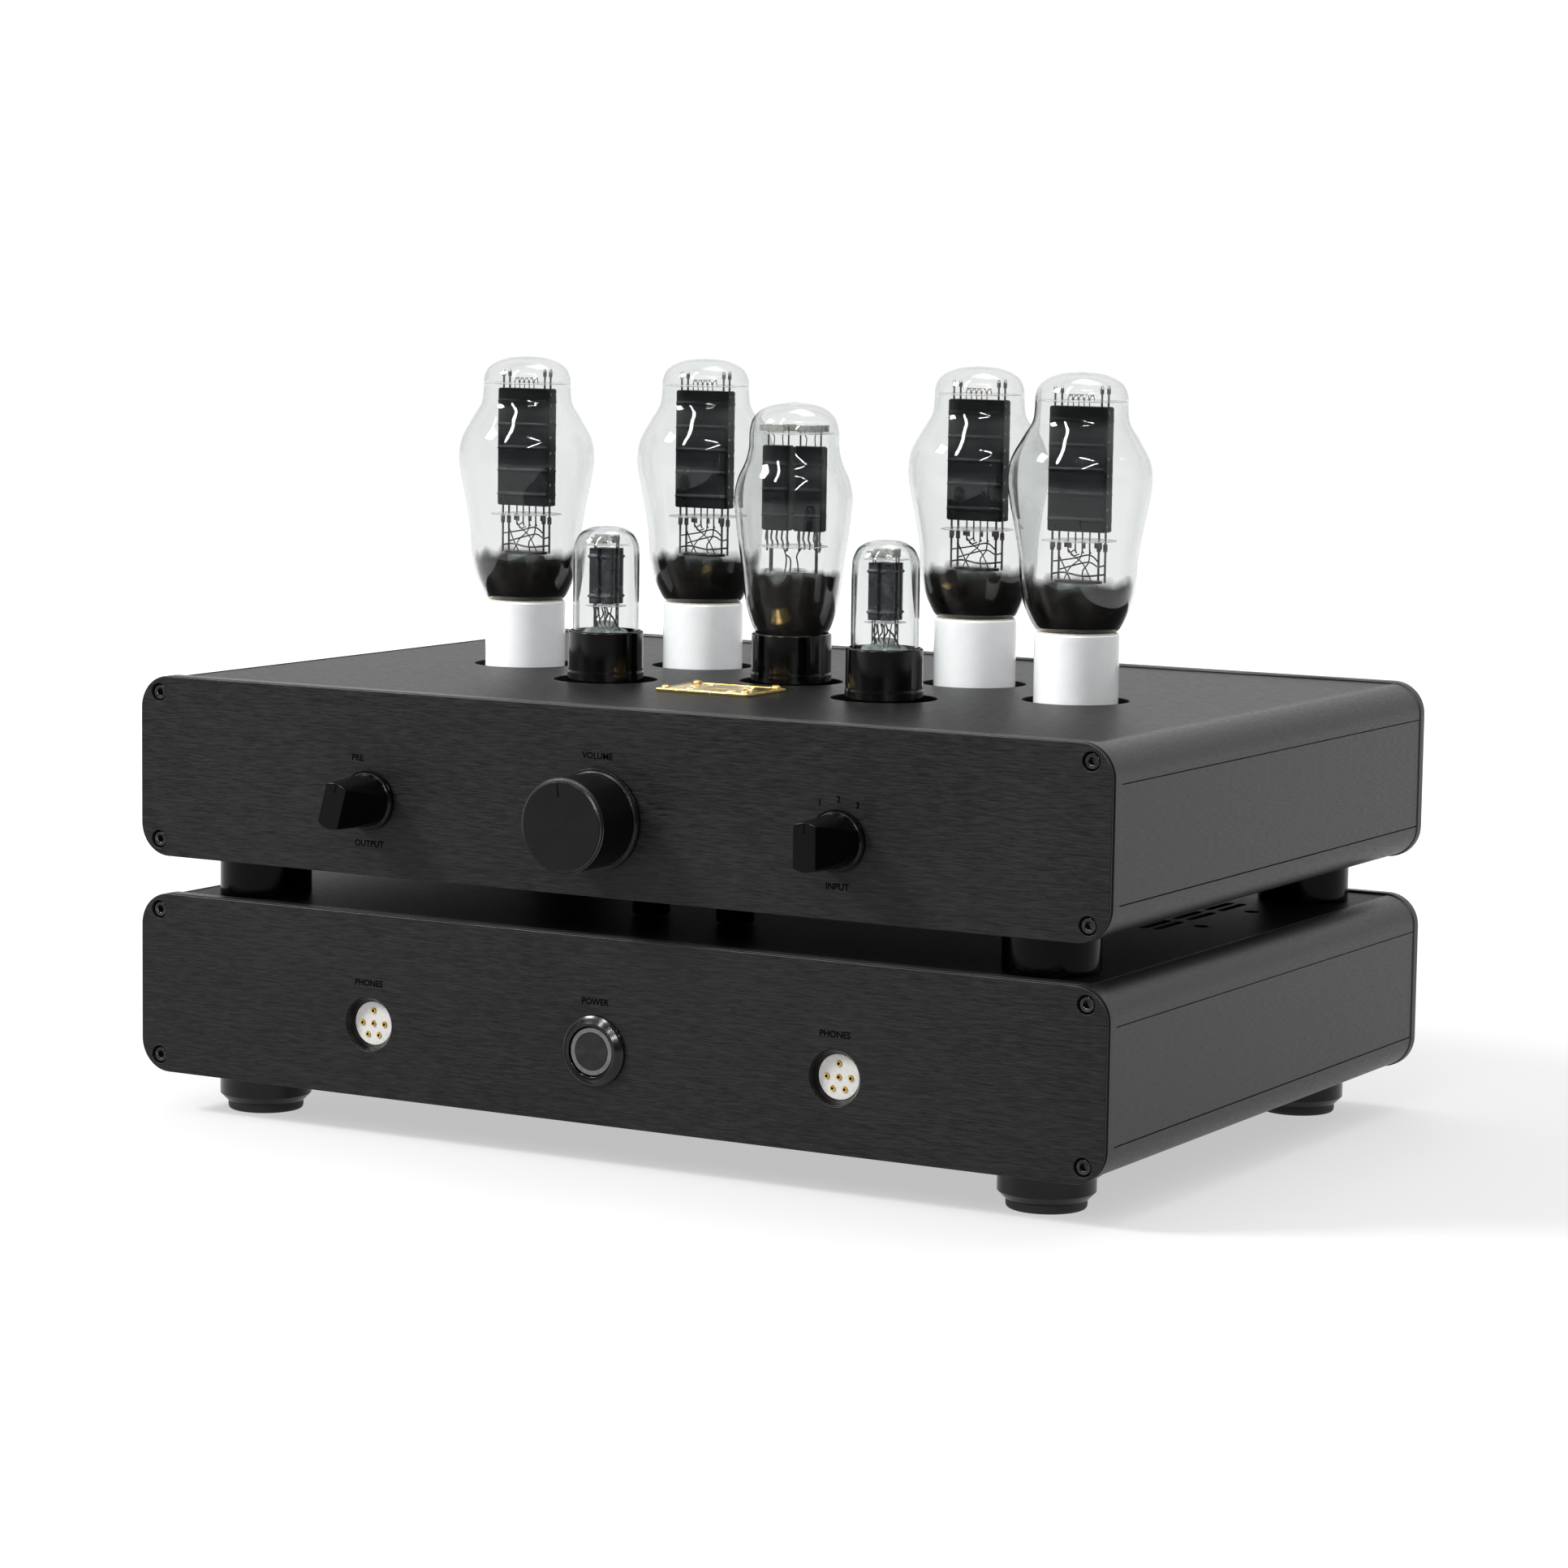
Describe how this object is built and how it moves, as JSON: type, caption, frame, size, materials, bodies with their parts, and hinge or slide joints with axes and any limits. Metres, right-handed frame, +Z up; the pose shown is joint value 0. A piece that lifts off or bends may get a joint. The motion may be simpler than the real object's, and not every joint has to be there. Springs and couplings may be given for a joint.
{
  "type": "tube amplifier",
  "caption": "Tube headphone amplifier in two black box chassis stacked on spacers, glass tubes standing on the deck, turned knobs, push button and recessed front sockets.",
  "frame": {"origin": "on the resting surface, under the middle of the bounding box", "axes": "+X to the right as seen from the front, +Y from the front panel to the rear, +Z up"},
  "size_m": [0.46, 0.3526, 0.3245],
  "materials": {
    "front_panel": "black anodised, fine horizontal brushing",
    "cover": "dark anodised, brushed, semi-gloss",
    "side_metal": "dark grey anodised, satin",
    "foot": "black anodised body with a black rubber pad",
    "black_aluminium": "black anodised",
    "ceramic": "white, glossy",
    "bakelite": "black, glossy",
    "glass": "clear, polished",
    "circuit_board": "green board with soldered sockets",
    "knob": "black anodised, turned",
    "steel": "plated steel",
    "button": "spun face, ringed by a pale light ring",
    "contact_insulator": "white insulator in a black shell",
    "brass": "polished",
    "black_plastic": "moulded",
    "jack_metal": "gold plated",
    "transformer": "lacquered copper winding"
  },
  "bodies": {
    "chassis": {"lower_front_panel": "front_panel", "lower_rear_panel": "side_metal", "lower_top_plate": "cover", "lower_bottom_plate": "cover", "lower_side_plate_left": "side_metal", "lower_rail_top_left": "side_metal", "lower_rail_bottom_left": "side_metal", "lower_side_plate_right": "side_metal", "lower_rail_top_right": "side_metal", "lower_rail_bottom_right": "side_metal", "upper_front_panel": "front_panel", "upper_rear_panel": "side_metal", "upper_top_plate": "cover", "upper_bottom_plate": "cover", "upper_side_plate_left": "side_metal", "upper_rail_top_left": "side_metal", "upper_rail_bottom_left": "side_metal", "upper_side_plate_right": "side_metal", "upper_rail_top_right": "side_metal", "upper_rail_bottom_right": "side_metal", "foot_front_left": "foot", "spacer_front_left": "black_aluminium", "foot_front_right": "foot", "spacer_front_right": "black_aluminium", "foot_rear_left": "foot", "spacer_rear_left": "black_aluminium", "foot_rear_right": "foot", "spacer_rear_right": "black_aluminium", "harness_bush_left": "black_aluminium", "harness_bush_right": "black_aluminium", "power_tube_1_base": "ceramic", "power_tube_1_glass": "glass", "power_tube_2_base": "ceramic", "power_tube_2_glass": "glass", "power_tube_3_base": "ceramic", "power_tube_3_glass": "glass", "power_tube_4_base": "ceramic", "power_tube_4_glass": "glass", "rectifier_tube_base": "bakelite", "rectifier_tube_glass": "glass", "driver_tube_left_base": "bakelite", "driver_tube_left_glass": "glass", "driver_tube_right_base": "bakelite", "driver_tube_right_glass": "glass", "amplifier_board": "circuit_board", "volume_potentiometer": "steel", "output_selector_switch": "steel", "input_selector_switch": "steel", "power_switch_body": "black_aluminium", "headphone_socket_left": "contact_insulator", "headphone_socket_right": "contact_insulator", "nameplate": "brass", "mains_inlet": "black_plastic", "signal_jack_panel": "jack_metal", "power_transformer": "transformer", "power_supply_board": "circuit_board"},
    "volume_knob": {"volume_knob": "knob"},
    "output_selector_knob": {"output_selector_knob": "knob"},
    "input_selector_knob": {"input_selector_knob": "knob"},
    "power_button": {"power_button": "button"}
  },
  "joints": [
    {"name": "volume_turn", "type": "hinge", "parent": "chassis", "child": "volume_knob", "pos_m": [0, -0.149, 0.1431], "axis": [0, 1, 0], "range_deg": [-144, 156]},
    {"name": "output_selector_turn", "type": "hinge", "parent": "chassis", "child": "output_selector_knob", "pos_m": [-0.1115, -0.149, 0.1431], "axis": [0, 1, 0], "range_deg": [-30, 0]},
    {"name": "input_selector_turn", "type": "hinge", "parent": "chassis", "child": "input_selector_knob", "pos_m": [0.1115, -0.149, 0.1431], "axis": [0, 1, 0], "range_deg": [-30, 30]},
    {"name": "power_press", "type": "slide", "parent": "chassis", "child": "power_button", "axis": [0, 1, 0], "range_m": [0, 0.002], "stiffness_N_per_m": 600, "springref_m": -0.002}
  ]
}
